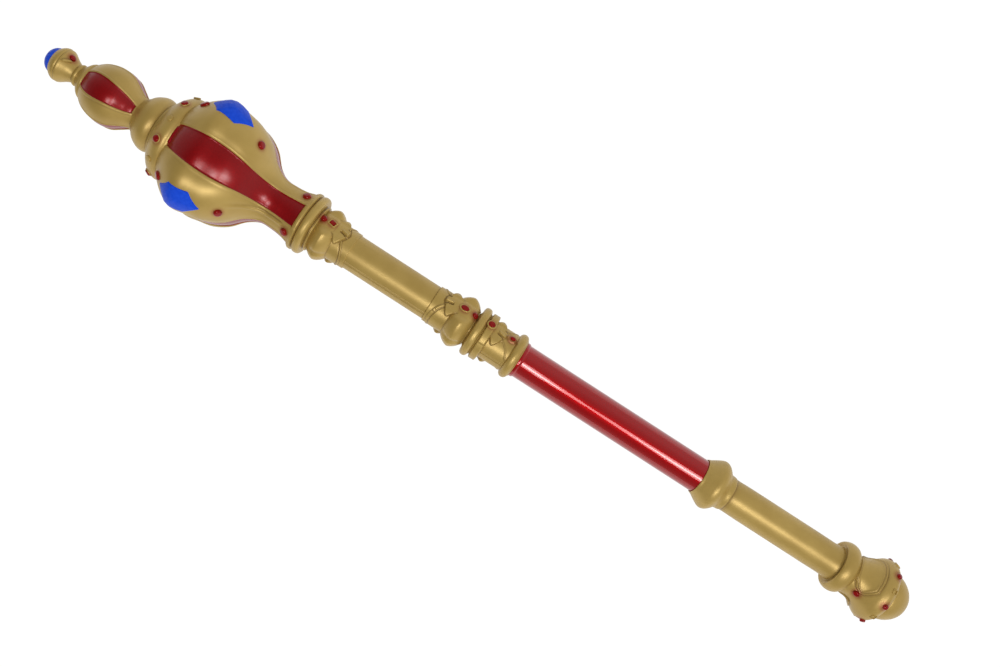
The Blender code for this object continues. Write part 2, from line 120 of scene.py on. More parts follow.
def draw_outline(name, outline):
    """An outline of (radius, height) points as a wire mesh in the plane y = 0."""
    deselect()
    bpy.ops.curve.primitive_bezier_curve_add(location=(0, 0, 0))
    wire = bpy.context.object
    wire.name = name
    spline = wire.data.splines[0]
    spline.bezier_points.add(len(outline) - 2)
    for point, (radius, height, *corner) in zip(spline.bezier_points, outline):
        point.co = (radius * MM, 0, height * MM)
        handles = "VECTOR" if corner else "AUTO"
        point.handle_left_type = handles
        point.handle_right_type = handles
    spline.resolution_u = SMOOTH
    bpy.ops.object.convert(target="MESH")
    return bpy.context.object


def close_skin(piece):
    """Merges a piece's doubles in edit mode, closes its open ends and turns its faces outwards."""
    bpy.ops.mesh.select_all(action="SELECT")
    bpy.ops.mesh.remove_doubles(threshold=WELD)
    bpy.ops.mesh.fill_holes(sides=0)
    bpy.ops.mesh.select_all(action="SELECT")
    bpy.ops.mesh.normals_make_consistent(inside=False)
    bpy.ops.object.mode_set(mode="OBJECT")
    bpy.ops.object.shade_smooth()
    print(f"{piece.name}: {len(piece.data.polygons)} faces")
    return piece


def turn_on_lathe(name, *outline):
    """Spins an outline round the Z axis; an end that stops short of the axis is closed flat."""
    top = [(0, outline[0][1], "corner")] if outline[0][0] else []
    bottom = [(0, outline[-1][1], "corner")] if outline[-1][0] else []
    piece = draw_outline(name, [*top, *outline, *bottom])
    piece.data.name = name
    bpy.ops.object.mode_set(mode="EDIT")
    bpy.ops.mesh.select_all(action="SELECT")
    bpy.ops.mesh.spin(steps=FINE, angle=math.tau, center=(0, 0, 0), axis=(0, 0, 1))
    return close_skin(piece)


# %% [markdown]
# Relief is made by moving points. Each is known by its height and its radius in millimetres and by its turn
# round the axis in degrees, where 0 is the side that will lie upwards. All sizes below are in these units.

# %% Points by height, turn and radius
def read_rows(items, key, width, kind=float):
    """An array with a row of values for each vertex, edge or face."""
    rows = np.empty(len(items) * width, kind)
    items.foreach_get(key, rows)
    return rows.reshape(-1, width)


def set_points(piece, points):
    piece.data.vertices.foreach_set("co", points.ravel())
    piece.data.update()


def place_points(piece, heights, turns, radii):
    angles = np.radians(turns)
    set_points(piece, np.column_stack((radii * np.cos(angles), radii * np.sin(angles), heights)) * MM)


def ramp(value, start, end):
    """Smooth 0 to 1 between start and end."""
    share = np.clip((value - start) / (end - start), 0, 1)
    return share * share * (3 - 2 * share)


def hump(distance, width):
    """1 at distance 0, with soft feet about twice the width away."""
    return np.exp(-((distance / width) ** 2))


def curve_through(points, heights):
    """Smooth values at heights, through (height, value) points listed from the top down."""
    stations = np.array([point[0] for point in points][::-1], float)
    values = np.array([point[1] for point in points][::-1], float)
    slopes = np.gradient(values, stations)
    place = np.clip(np.searchsorted(stations, heights) - 1, 0, len(stations) - 2)
    span = stations[place + 1] - stations[place]
    u = np.clip((heights - stations[place]) / span, 0, 1)
    start, end = values[place], values[place + 1]
    rise_in, rise_out = slopes[place] * span, slopes[place + 1] * span
    return (
        (2 * u**3 - 3 * u**2 + 1) * start
        + (u**3 - 2 * u**2 + u) * rise_in
        + (3 * u**2 - 2 * u**3) * end
        + (u**3 - u**2) * rise_out
    )


def apart(turns, centre):
    """Signed degrees from centre to each turn, between -180 and 180."""
    return (turns - centre + 180) % 360 - 180


# %% [markdown]
# Ornament that runs all round a piece is easiest to design flat, like a strip of clay that is stamped and
# then rolled into a tube. The strip is a grid: across it runs the turn and up it the height. A stamp is a
# function that gives each point its height, turn and radius. The two long sides then meet and are merged,
# and the open ends, which are hidden inside the neighbours, are closed.

# %% A stamped and rolled sheet
def roll_sheet(name, columns, levels, stamp):
    """A tube of faces through the stamped points of a grid; levels are its heights from the top down."""
    deselect()
    rows = len(levels) - 1
    bpy.ops.mesh.primitive_grid_add(
        x_subdivisions=columns, y_subdivisions=rows, size=1, location=(0, 0, 0)
    )
    piece = bpy.context.object
    piece.name = name
    piece.data.name = name
    flat = read_rows(piece.data.vertices, "co", 3)
    turns = flat[:, 0] * 360
    heights = np.interp(0.5 - flat[:, 1], np.linspace(0, 1, rows + 1), levels)
    place_points(piece, *stamp(heights, turns))
    bpy.ops.object.mode_set(mode="EDIT")
    return close_skin(piece)


def levels_between(*stations, spacing):
    """Heights from the top down that hit every station, about the given spacing apart."""
    levels = [stations[0]]
    for above, below in zip(stations, stations[1:]):
        steps = max(1, round((above - below) / spacing))
        levels += list(np.linspace(above, below, steps + 1))[1:]
    return levels


# %% [markdown]
# The finishes come next. Each is named for what it is on a real toy, and its colours are written as the eye
# sees them, in sRGB hex, so one function turns them into the linear values that the shader works with.

# %% Colours and nodes
def hex_colour(code):
    channels = [int(code[i : i + 2], 16) / 255 for i in (1, 3, 5)]
    return (*[c / 12.92 if c <= 0.04045 else ((c + 0.055) / 1.055) ** 2.4 for c in channels], 1.0)


def set_values(node, values):
    for socket, value in dict(values).items():
        node.inputs[socket].default_value = value


def add_node(tree, kind, links=(), values=(), **settings):
    """A node with its settings, its socket values and its incoming links."""
    node = tree.nodes.new(kind)
    for key, value in settings.items():
        setattr(node, key, value)
    set_values(node, values)
    for socket, source in dict(links).items():
        tree.links.new(source, node.inputs[socket])
    return node


def new_finish(name):
    finish = bpy.data.materials.new(name)
    finish.use_nodes = True
    shader = finish.node_tree.nodes["Principled BSDF"]
    return finish, finish.node_tree, shader


def ripple_skin(tree, shader, place, scale, strength, height):
    """Makes a paint's surface uneven; the height of its ripples is in metres."""
    peel = add_node(tree, "ShaderNodeTexNoise", {"Vector": place}, {"Scale": scale, "Detail": 2.0})
    links, values = {"Height": peel.outputs["Fac"]}, {"Strength": strength, "Distance": height}
    skin = add_node(tree, "ShaderNodeBump", links, values)
    tree.links.new(skin.outputs["Normal"], shader.inputs["Normal"])


# %% [markdown]
# The gold is a metallic spray paint on moulded ABS. The flakes in it are far finer than can be seen, so it
# looks like satin brass: soft broad highlights, no mirror images, and a colour that drifts a little where
# the spray was thicker, in patches of about 17 mm. The orange peel of the sprayed skin is 1 mm across. Red
# overspray from the hand-painted gems is held in the points of each mesh, in an attribute called "mist",
# and painted shade that darkens the gold in its grooves is held in a second attribute.

# %% Satin gold spray paint
def satin_gold():
    finish, tree, shader = new_finish("satin_gold_spray_paint")
    place = add_node(tree, "ShaderNodeTexCoord").outputs["Object"]
    drift = add_node(tree, "ShaderNodeTexNoise", {"Vector": place}, {"Scale": 60.0, "Detail": 3.0})
    gold = add_node(tree, "ShaderNodeValToRGB", {"Fac": drift.outputs["Fac"]})
    for stop, position, code in zip(gold.color_ramp.elements, (0.35, 0.65), ("#ad8f48", "#b89a52")):
        stop.position, stop.color = position, hex_colour(code)
    colour = gold.outputs["Color"]
    # The first value darkens the gold in hollows as painted shade; the mist is red overspray.
    for attribute, tint in (("groove_shade", "#5f3c10"), ("mist", "#8a2a1c")):
        amount = add_node(tree, "ShaderNodeAttribute", attribute_name=attribute).outputs["Fac"]
        links, values = {"Factor": amount, "A": colour}, {"B": hex_colour(tint)}
        colour = add_node(tree, "ShaderNodeMix", links, values, data_type="RGBA").outputs["Result"]
    tree.links.new(colour, shader.inputs["Base Color"])
    ripple_skin(tree, shader, place, scale=900.0, strength=0.12, height=0.0001)
    set_values(shader, {"Metallic": 0.3, "Roughness": 0.4})
    return finish


# %% [markdown]
# The reds and the blue are enamels. Fine metal flakes give the stripes and the tube their inner glow. Real
# flakes are too fine to show, so they are drawn 0.4 mm across. The clear coat on top isn't flat: the brush
# left waves of about 4 mm on the stripes, while the lacquer of the tube is almost as smooth as a mirror.
# The blue of the gems is matt and has no coat.

# %% Glossy paints
def gloss_paint(name, dark, light, sockets, flake_scale=600.0, ripple_scale=500.0, ripple_height=0.00001):
    """A paint whose flakes vary it between a dark and a light colour, under a rippled clear coat."""
    finish, tree, shader = new_finish(name)
    place = add_node(tree, "ShaderNodeTexCoord").outputs["Object"]
    flakes = add_node(tree, "ShaderNodeTexNoise", {"Vector": place}, {"Scale": flake_scale, "Detail": 4.0})
    colour = add_node(tree, "ShaderNodeValToRGB", {"Fac": flakes.outputs["Fac"]})
    for stop, position, code in zip(colour.color_ramp.elements, (0.3, 0.7), (dark, light)):
        stop.position, stop.color = position, hex_colour(code)
    tree.links.new(colour.outputs["Color"], shader.inputs["Base Color"])
    ripple_skin(tree, shader, place, ripple_scale, strength=1.0, height=ripple_height)
    set_values(shader, {"Specular Tint": hex_colour(light), "Coat IOR": 1.5, **sockets})
    return finish


GOLD = satin_gold()
STRIPE_RED = gloss_paint(
    "gloss_red_metallic_paint", "#7c0308", "#94060b",
    {"Metallic": 0.3, "Roughness": 0.42, "Coat Weight": 0.6, "Coat Roughness": 0.22},
    flake_scale=2500.0, ripple_scale=230.0, ripple_height=0.00016,
)
TUBE_RED = gloss_paint(
    "candy_red_lacquer", "#930307", "#aa0509",
    {"Metallic": 0.35, "Roughness": 0.36, "Coat Weight": 0.8, "Coat Roughness": 0.05, "Coat IOR": 1.6},
    flake_scale=2500.0, ripple_height=0.000004,
)
GEM_RED = gloss_paint(
    "gloss_red_gem_paint", "#780d0a", "#90140f",
    {"Metallic": 0.0, "Roughness": 0.30, "Coat Weight": 0.3, "Coat Roughness": 0.12},
)
GEM_BLUE = gloss_paint(
    "gloss_blue_gem_paint", "#1a47cc", "#2452da",
    {
        "Metallic": 0.0, "Roughness": 0.45, "Coat Weight": 0.0, "Coat Roughness": 0.2,
        "Specular IOR Level": 0.2,
    },
)
print("finishes:", [finish.name for finish in (GOLD, STRIPE_RED, TUBE_RED, GEM_RED, GEM_BLUE)])


# %% [markdown]
# A finished piece is dressed, laid down with the rest, flattened where the table would press it, and set
# to ride on the sceptre's one body.

# %% Finishing a piece
def seat_on_table(piece):
    """Points that would reach below the table top are pressed up to it: the small flat spots."""
    points = read_rows(piece.data.vertices, "co", 3)
    points[:, 2] = np.maximum(points[:, 2], 0.0)
    set_points(piece, points)


def finish_piece(piece, node, finishes):
    piece.data.materials.clear()
    for finish in finishes:
        piece.data.materials.append(finish)
    piece.data.transform(LYING)
    seat_on_table(piece)
    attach(piece, "root")
    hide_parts(node)


def paint_faces(piece, inside):
    """Gives the second finish to the faces whose middle, by height and turn, is inside."""
    centres = read_rows(piece.data.polygons, "center", 3) / MM
    turns = np.degrees(np.arctan2(centres[:, 1], centres[:, 0]))
    chosen = inside(centres[:, 2], turns).astype(np.int32)
    piece.data.polygons.foreach_set("material_index", chosen)
    piece.data.update()
    print(f"{piece.name}: {chosen.sum()} painted faces")


def set_attribute(piece, name, values):
    layer = piece.data.attributes.get(name) or piece.data.attributes.new(name, "FLOAT", "POINT")
    layer.data.foreach_set("value", np.asarray(values, np.float32))


# %% [markdown]
# The finial is the small turned knob at the very tip: a blue dome, a gold collar with a fine groove, a
# narrow neck with a bead, and a flare that sits on the onion bulb.

# %% The finial
DOME_EDGE = 525.8
finial = turn_on_lathe(
    "finial",
    (0, 530.7), (3.6, 530.1), (5.7, 528.6), (6.7, 527.0), (7.05, DOME_EDGE, "corner"), (7.9, 525.0),
    (8.7, 523.8), (9.15, 522.6), (9.1, 521.8), (8.85, 521.4, "corner"), (9.1, 520.9), (8.9, 520.1),
    (8.3, 519.1), (7.5, 517.9), (6.7, 516.7), (5.95, 515.3), (5.45, 514.1), (5.25, 513.3, "corner"),
    (5.8, 512.7), (6.1, 511.9), (5.9, 511.3), (5.5, 510.9, "corner"), (6.2, 510.2), (7.1, 509.3),
    (8.4, 508.3), (9.5, 507.2), (10.1, 506.0), (9.9, 505.2), (9.3, 504.4), (8.0, 503.0),
)
paint_faces(finial, lambda heights, turns: heights > DOME_EDGE)

# %% [markdown]
# The onion bulb and the great bulb are built the same way. Four sunk stripes of red run down each, with a
# thin raised lip on both sides. The columns of the sheet are gathered along the edges of the stripes, which
# keeps the line between red and gold crisp. A stripe is given by half its width at some heights.

# %% Striped bulbs
STRIPE_SHARE = 0.34  # the columns of each half quarter up to here lie on the stripe's floor,
WALL_SHARE = 0.44  # up to here on its wall,
LIP_SHARE = 0.60  # and up to here on its lip
HEAD_TURN = 2.5  # the turn of the first stripe
PAINT_CREEP = 0.30  # how far the red climbs the wall


def stripe_edge(heights, half_width, outline):
    """Half the width of a stripe, in degrees."""
    share = curve_through(half_width, heights) / curve_through(outline, heights)
    return np.degrees(np.arcsin(np.clip(share, 0, 0.95)))


def gather(turns, centre, edge, wall, lip):
    """Moves columns so that the shares of each half quarter follow the stripe's edge, wall and lip."""
    local = apart(turns, centre)
    quarter = np.round(local / 90)
    off = local - quarter * 90
    share = np.abs(off) / 45
    outer = np.minimum(edge + wall, 42)
    brow = np.minimum(outer + lip, 43.5)
    on_floor = share / STRIPE_SHARE * edge
    on_wall = edge + (share - STRIPE_SHARE) / (WALL_SHARE - STRIPE_SHARE) * (outer - edge)
    on_lip = outer + (share - WALL_SHARE) / (LIP_SHARE - WALL_SHARE) * (brow - outer)
    on_gold = brow + (share - LIP_SHARE) / (1 - LIP_SHARE) * (45 - brow)
    parts = [share < STRIPE_SHARE, share < WALL_SHARE, share < LIP_SHARE]
    spread = np.select(parts, [on_floor, on_wall, on_lip], on_gold)
    return centre + quarter * 90 + np.sign(off) * spread, share


def stripe_relief(share, depth, lip_height):
    """The floor of the stripe, its steep wall and the rounded lip beside it."""
    wall = ramp(share, STRIPE_SHARE, WALL_SHARE)
    lip_start = WALL_SHARE * 0.93
    lip = np.sin(np.pi * np.clip((share - lip_start) / (LIP_SHARE - lip_start), 0, 1)) ** 1.5
    return -depth * (1 - wall) + lip_height * lip


def in_stripe(half_width, outline, top, foot):
    """The test for paint_faces: faces on a stripe's floor, or low on its wall, between top and foot."""

    def inside(heights, turns):
        local = np.abs((apart(turns, HEAD_TURN) + 45) % 90 - 45)
        creep = np.degrees(PAINT_CREEP / curve_through(outline, heights))
        edge = stripe_edge(heights, half_width, outline)
        return (local < edge + creep) & (heights < top) & (heights > foot)

    return inside


# %% [markdown]
# On the onion bulb the stripes are petals: wide below the flare and drawn to a point at the foot.

# %% The onion bulb
ONION = (
    (505.6, 9.9), (503.2, 12.0), (500.7, 13.8), (496.2, 15.7), (491.5, 16.4), (485.8, 15.4), (480.4, 12.0),
    (476.2, 9.4), (474.6, 9.2),
)
PETAL = (
    (505.6, 2.6), (504.6, 3.8), (503.0, 4.6), (499.0, 5.7), (494.5, 5.9), (489.0, 5.4), (484.0, 4.6),
    (478.7, 3.1), (475.8, 1.9), (474.6, 1.6),
)
PETAL_TOP = 504.9
PETAL_FOOT = 476.0


def onion_stamp(heights, turns):
    base = curve_through(ONION, heights)
    edge = stripe_edge(heights, PETAL, ONION)
    turns, share = gather(turns, HEAD_TURN, edge, wall=np.degrees(0.45 / base), lip=np.degrees(1.1 / base))
    below_top = ramp(heights, PETAL_TOP + 0.3, PETAL_TOP - 0.5)
    above_foot = ramp(heights, PETAL_FOOT - 0.3, PETAL_FOOT + 0.5)
    relief = below_top * above_foot * stripe_relief(share, depth=0.7, lip_height=0.28)
    return heights, turns, base + relief


onion_levels = levels_between(505.6, PETAL_TOP, PETAL_FOOT, 474.6, spacing=0.35)
onion_bulb = roll_sheet("onion_bulb", 192, onion_levels, onion_stamp)
paint_faces(onion_bulb, in_stripe(PETAL, ONION, PETAL_TOP, PETAL_FOOT))

# %% [markdown]
# Below the onion bulb come a round knop, a fine ring and the crown, a flared ring that carries twelve studs
# and overhangs the great bulb.

# %% Knop and crown
knop_and_crown = turn_on_lathe(
    "knop_and_crown",
    (8.4, 477.0, "corner"), (9.1, 475.6), (10.6, 473.6), (12.9, 471.4), (14.6, 468.6), (15.3, 466.6),
    (15.4, 465.0), (15.1, 463.6), (14.6, 462.6), (14.2, 462.0, "corner"), (14.4, 461.5), (15.2, 461.0),
    (15.9, 460.3), (16.3, 459.4, "corner"), (17.8, 459.0), (19.8, 457.7), (21.6, 456.0), (22.9, 454.2),
    (23.6, 452.4), (23.8, 451.2), (23.7, 450.2), (23.4, 449.5), (23.0, 448.9), (22.7, 448.2, "corner"),
    (18.0, 446.0),
)

# %% [markdown]
# The great bulb has four gold pillows. Its belly isn't round: each pillow swells between two stripes. The
# stripes start under a small lug at the crown and end in a square foot, with a lip below it, just above
# the flange. A seam of the mould shows along two sides of the waist.

# %% The great bulb
BULB = (
    (449.0, 21.9), (445.2, 25.2), (439.2, 29.0), (433.0, 31.3), (424.6, 30.5), (415.6, 28.6), (407.6, 24.1),
    (400.8, 17.5), (394.0, 14.0), (387.2, 13.7), (381.0, 14.4), (374.0, 16.5),
)
STRIPE = (
    (449.0, 5.6), (446.0, 6.3), (442.5, 6.9), (436.0, 7.7), (428.0, 8.2), (421.6, 8.2), (412.0, 7.3),
    (405.0, 6.2), (400.0, 5.6), (393.0, 5.3), (387.0, 5.4), (381.0, 5.8), (374.0, 6.3),
)
STRIPE_TOP = 448.3
STRIPE_FOOT = 376.3
WAIST_RADIUS = 13.7
BELLY_RADIUS = 31.3
SWELL = 0.165  # how much of its radius the belly gains at the crest of a pillow
SWELL_ROUNDNESS = 2.2
SEAM_TURN = -34.5
LUG_HEIGHT = 448.2


def bulb_skin(heights, turns):
    """The skin: round under the stripes and swollen between them."""
    base = curve_through(BULB, heights)
    fullness = np.clip((base - WAIST_RADIUS) / (BELLY_RADIUS - WAIST_RADIUS), 0, 1)
    off = np.abs((apart(turns, HEAD_TURN) + 45) % 90 - 45)
    edge = stripe_edge(heights, STRIPE, BULB)
    across = np.clip((off - edge) / (45 - edge), 0, 1)
    return base * (1 + SWELL * fullness * (1 - (1 - across) ** SWELL_ROUNDNESS))


def bulb_seam(heights, turns, base):
    """A ridge with a dip beside it, on two opposite sides of the waist."""
    across = np.radians((apart(turns, SEAM_TURN) + 90) % 180 - 90) * base
    seam = 0.55 * hump(across, 0.7) - 0.35 * hump(across - 1.3, 0.7)
    return seam * (ramp(heights, 380.0, 384.0) * ramp(heights, 409.0, 406.5))


def bulb_stamp(heights, turns):
    base = curve_through(BULB, heights)
    edge = stripe_edge(heights, STRIPE, BULB)
    turns, share = gather(turns, HEAD_TURN, edge, wall=np.degrees(0.5 / base), lip=np.degrees(1.4 / base))
    foot = ramp(heights, STRIPE_FOOT - 0.1, STRIPE_FOOT + 0.45)
    sunk = stripe_relief(share, depth=0.75, lip_height=0.22)
    foot_lip = hump(heights - STRIPE_FOOT + 0.9, 0.55) * (1 - ramp(share, WALL_SHARE, LIP_SHARE))
    lug = 1.3 * hump(heights - LUG_HEIGHT, 0.9) * (1 - ramp(share, STRIPE_SHARE * 0.7, STRIPE_SHARE))
    radius = bulb_skin(heights, turns) + foot * sunk + 0.4 * foot_lip
    return heights, turns, radius + bulb_seam(heights, turns, base) + lug


bulb_levels = levels_between(449.0, STRIPE_TOP, STRIPE_FOOT, 374.0, spacing=0.42)
great_bulb = roll_sheet("great_bulb", 256, bulb_levels, bulb_stamp)
paint_faces(great_bulb, in_stripe(STRIPE, BULB, STRIPE_TOP + 1, STRIPE_FOOT))

# %% [markdown]
# The flange closes the great bulb: a rim, a deep groove and a rounded ring.

# %% Flange
flange = turn_on_lathe(
    "flange",
    (15.0, 376.5, "corner"), (16.0, 375.6), (16.5, 374.8), (16.4, 374.2), (15.6, 373.7, "corner"),
    (15.2, 373.4), (15.8, 373.0, "corner"), (16.4, 372.2), (16.6, 370.9), (16.3, 369.7), (15.4, 368.9),
    (13.6, 368.6, "corner"), (12.4, 368.3), (12.2, 367.8, "corner"), (12.9, 367.6), (12.9, 367.2),
    (12.2, 366.9, "corner"), (10.5, 366.5),
)

# %% [markdown]
# Both knuckles and the lower sleeve carry the same leaf, which springs from a gem and lies on the sleeve.
# It is drawn flat, as (degrees round from its middle, millimetres towards its point), and its relief comes
# from the distance to that outline: steep at the edge, with a fine groove outside it, and higher towards
# the side ends. A slit and a low rib split it beside its middle.

# %% Relief from flat drawings
LEAF_TURNS = (36.5, 216.5)
LEAF_ROOT = 0.2  # how deep a leaf is rooted in its sleeve
LEAF = (
    (0, 4.3), (6, 4.2), (9, 3.9), (11.5, 2.5), (14, 3.6), (18, 3.2), (28, 2.3), (38, 1.2), (43, 0.5),
    (44.5, -0.2), (43, -1.0), (37, -1.8), (28, -2.9), (24, -4.6), (20, -7.0),
)
SLIT_AND_RIB = (((-6.5, 0.0), (-11.5, 4.4), 0.5, -1.4), ((-2.0, 0.4), (-7.0, 4.4), 0.6, 0.5))


def segment_distance(x, y, start, end):
    along_x, along_y = end[0] - start[0], end[1] - start[1]
    share = np.clip(((x - start[0]) * along_x + (y - start[1]) * along_y) / (along_x**2 + along_y**2), 0, 1)
    return np.hypot(x - start[0] - share * along_x, y - start[1] - share * along_y)


def outline_distance(x, y, outline):
    """Distance to a closed outline, positive inside it."""
    inside = np.zeros(x.shape, bool)
    distance = np.full(x.shape, 1e9)
    for start, end in zip(outline, outline[1:] + outline[:1]):
        distance = np.minimum(distance, segment_distance(x, y, start, end))
        crosses = (start[1] > y) != (end[1] > y)
        slant = (end[0] - start[0]) / ((end[1] - start[1]) or 1e-9)
        inside ^= crosses & (x < start[0] + slant * (y - start[1]))
    return np.where(inside, distance, -distance)


def flat_drawing(drawing, radius):
    """A drawing of (degrees, height) points in millimetres both ways, on a sleeve of that radius."""
    return [(math.radians(turn) * radius, height) for turn, height in drawing]


def mirrored(half):
    """A closed outline from its right half; points on the middle line aren't doubled."""
    return half + [(-x, y) for x, y in reversed(half) if x > 0]


def beside_leaf(turns):
    """Signed degrees from the middle of the nearest leaf."""
    return (apart(turns, LEAF_TURNS[0]) + 90) % 180 - 90


def off_leaf(turns):
    return np.abs(beside_leaf(turns))


def leaf_relief(heights, turns, station, direction, radius=11.0):
    """Rise of the leaves whose side ends are at height station; direction is +1 towards the tip."""
    x = np.radians(off_leaf(turns)) * radius
    y = (heights - station) * direction
    distance = outline_distance(x, y, mirrored(flat_drawing(LEAF, radius)))
    body = (1.5 + 0.6 * ramp(off_leaf(turns), 16, 28)) * ramp(distance, -0.25, 0.45)
    beside = np.radians(beside_leaf(turns)) * radius
    for start, end, width, rise in SLIT_AND_RIB:
        start, end = flat_drawing((start, end), radius)
        body += rise * hump(segment_distance(beside, y, start, end), width) * ramp(distance, -0.1, 0.4)
    return np.maximum(body, 0) - 0.3 * hump(distance + 0.45, 0.28)


def line_distance(x, y, line):
    gap = np.full(x.shape, 1e9)
    for start, end in zip(line, line[1:]):
        gap = np.minimum(gap, segment_distance(x, y, start, end))
    return gap


def swag_relief(heights, turns, outer, inner, radius=10.6):
    """A thin cord between two grooves that hangs from a leaf; its lines are (degrees off leaf, height)."""
    x = np.radians(off_leaf(turns)) * radius
    to_outer = line_distance(x, heights, flat_drawing(outer, radius))
    to_inner = line_distance(x, heights, flat_drawing(inner, radius))
    cord = 0.26 * hump(to_outer - to_inner, 0.9) * (to_outer + to_inner < 2.2)
    return cord - 0.42 * hump(to_outer, 0.28) - 0.30 * hump(to_inner, 0.26)


# %% [markdown]
# Each knuckle is a ball of six sectors. Two of them, under the gems, are low flat seats; the other four are
# egg-shaped lobes. Seen from the side the ball is almost a double cone with a rounded crest. The sleeve
# beside it steps down to the shaft along a line of scallops.

# %% Lobes, shaft and sleeve
SHAFT = 9.6  # the radius of the shaft,
SLEEVE = 10.4  # and of the sleeves at the ends of it
SEAT_CREST = 12.2
LOBE_CREST = 14.6


def ball_radius(heights, turns, middle, long, foot=9.2):
    """Radius of a ball of seats and lobes; long is how far it reaches up and down from its middle."""
    off = off_leaf(turns)
    lobe = ramp(off, 21, 40)
    crest = SEAT_CREST + (LOBE_CREST - SEAT_CREST) * lobe - 1.1 * ramp(off, 78, 91)
    y = np.abs(heights - middle) / np.where(heights > middle, long[0], long[1])
    arch = np.clip(1 - y ** (3.2 - 1.65 * lobe), 0, 1) ** (0.85 - 0.1 * lobe)
    return foot + (crest - foot) * arch


def roll_knuckle(name, levels, scallop, swags, station, direction, middle, long, foot_groove=None):
    """A knuckle and its sleeve; direction is where its leaf points, +1 towards the tip."""

    def stamp(heights, turns):
        edge = np.interp(off_leaf(turns), *zip(*scallop))
        radius = SHAFT + (SLEEVE - SHAFT) * ramp((heights - edge) * -direction, -0.15, 0.3)
        radius += swag_relief(heights, turns, *swags) * ramp(off_leaf(turns), 13, 17)
        if foot_groove:
            radius -= 1.6 * ramp(heights, *foot_groove)
        leaf = leaf_relief(heights, turns, station, direction)
        radius = np.maximum(radius, SLEEVE - LEAF_ROOT + leaf)
        radius = np.maximum(radius, ball_radius(heights, turns, middle, long))
        return heights, turns, radius

    return roll_sheet(name, 288, levels, stamp)


# %% [markdown]
# The upper knuckle sits right under the flange. The end of its sleeve hangs in scallops below the swags.

# %% The upper knuckle
UPPER_OUTER_SWAG = (
    (15, 353.0), (21, 352.2), (27, 351.5), (42, 350.0), (57, 348.9), (74, 348.1), (91, 347.8),
)
UPPER_INNER_SWAG = (
    (21, 353.9), (28, 353.0), (36, 352.1), (51, 350.9), (64, 350.0), (78, 349.5), (91, 349.3),
)
UPPER_SCALLOP = ((0, 352.8), (15, 352.6), (27, 351.1), (42, 349.6), (57, 348.5), (74, 347.7), (90, 347.4))
upper_knuckle = roll_knuckle(
    "upper_knuckle", levels_between(367.5, 346.0, spacing=0.22), UPPER_SCALLOP,
    (UPPER_OUTER_SWAG, UPPER_INNER_SWAG), station=354.6, direction=-1, middle=361.6, long=(6.3, 6.2),
)

# %% [markdown]
# The shaft is plain, apart from the parting lines that the two halves of the mould leave: a fine double
# ridge along each side, and one groove all round near its end.

# %% The shaft
PARTING_TURNS = (-45, 135)
SHAFT_GROOVE = 296.5


def parting_ridge(turns, radius, height=0.20, gap=0.85, width=0.26):
    rise = np.zeros(turns.shape)
    for parting in PARTING_TURNS:
        across = np.radians(apart(turns, parting)) * radius
        for side in (-gap, gap):
            rise = np.maximum(rise, height * hump(across - side, width))
    return rise


def shaft_stamp(heights, turns):
    return heights, turns, SHAFT + parting_ridge(turns, SHAFT) - 0.35 * hump(heights - SHAFT_GROOVE, 0.45)


shaft_levels = levels_between(348.5, SHAFT_GROOVE + 2, SHAFT_GROOVE - 2, 293.5, spacing=0.5)
shaft = roll_sheet("shaft", 288, shaft_levels, shaft_stamp)

# %% [markdown]
# The middle knuckle is the upper one turned over, with its leaf towards the tip and a groove at its foot.

# %% The middle knuckle
MIDDLE_OUTER_SWAG = (
    (15, 290.2), (19, 291.3), (23, 292.2), (32, 293.4), (44, 294.5), (57, 295.2), (71, 295.6), (91, 295.8),
)
MIDDLE_INNER_SWAG = (
    (18, 288.8), (23, 289.7), (29, 290.6), (41, 291.9), (53, 292.7), (70, 293.3), (91, 293.6),
)
MIDDLE_SCALLOP = (
    (0, 290.6), (15, 290.8), (23, 292.6), (32, 293.8), (44, 294.9), (57, 295.6), (71, 296.0), (90, 296.2),
)
middle_knuckle = roll_knuckle(
    "middle_knuckle", levels_between(296.8, 272.6, spacing=0.22), MIDDLE_SCALLOP,
    (MIDDLE_OUTER_SWAG, MIDDLE_INNER_SWAG), station=287.2, direction=1, middle=278.8, long=(7.0, 6.2),
    foot_groove=(274.8, 273.2),
)

# %% [markdown]
# Two rounded rings hold the lower sleeve between them; one is behind the knuckle, the other grips the tube.

# %% Rings
knuckle_ring = turn_on_lathe(
    "knuckle_ring",
    (9.0, 273.4), (9.2, 272.6), (10.2, 271.9), (12.0, 271.7, "corner"), (13.3, 271.3), (14.0, 270.3),
    (14.1, 269.3), (13.9, 268.3), (13.1, 267.5), (12.2, 267.2, "corner"), (11.9, 266.9), (11.6, 266.4),
)
tube_ring = turn_on_lathe(
    "tube_ring",
    (10.2, 249.2, "corner"), (10.4, 248.8), (11.3, 248.4, "corner"), (12.2, 247.7), (12.75, 246.5),
    (12.7, 245.4), (12.1, 244.3), (11.2, 243.7), (10.6, 243.4, "corner"), (10.5, 243.2),
    (10.3, 243.1, "corner"),
)

# %% [markdown]
# The band is a flat ring in two steps, and the lower sleeve below it carries the third leaf, a swag and a
# small raised leaf of its own.

# %% Band and lower sleeve
BAND_TOP = 266.6
BAND_BOTTOM = 262.0
LOWER_OUTER_SWAG = (
    (12, 256.4), (16, 254.6), (20, 253.6), (27, 252.3), (34, 251.1), (44, 250.0), (55, 249.2),
)
LOWER_INNER_SWAG = (
    (21, 255.6), (27, 254.2), (34, 253.0), (42, 251.8), (52, 250.8), (62, 250.0), (72, 249.4),
)
TONGUE = ((0, 255.2), (6, 254.6), (11, 253.2), (12.5, 251.4), (10, 249.6), (5, 249.1), (0, 249.0))


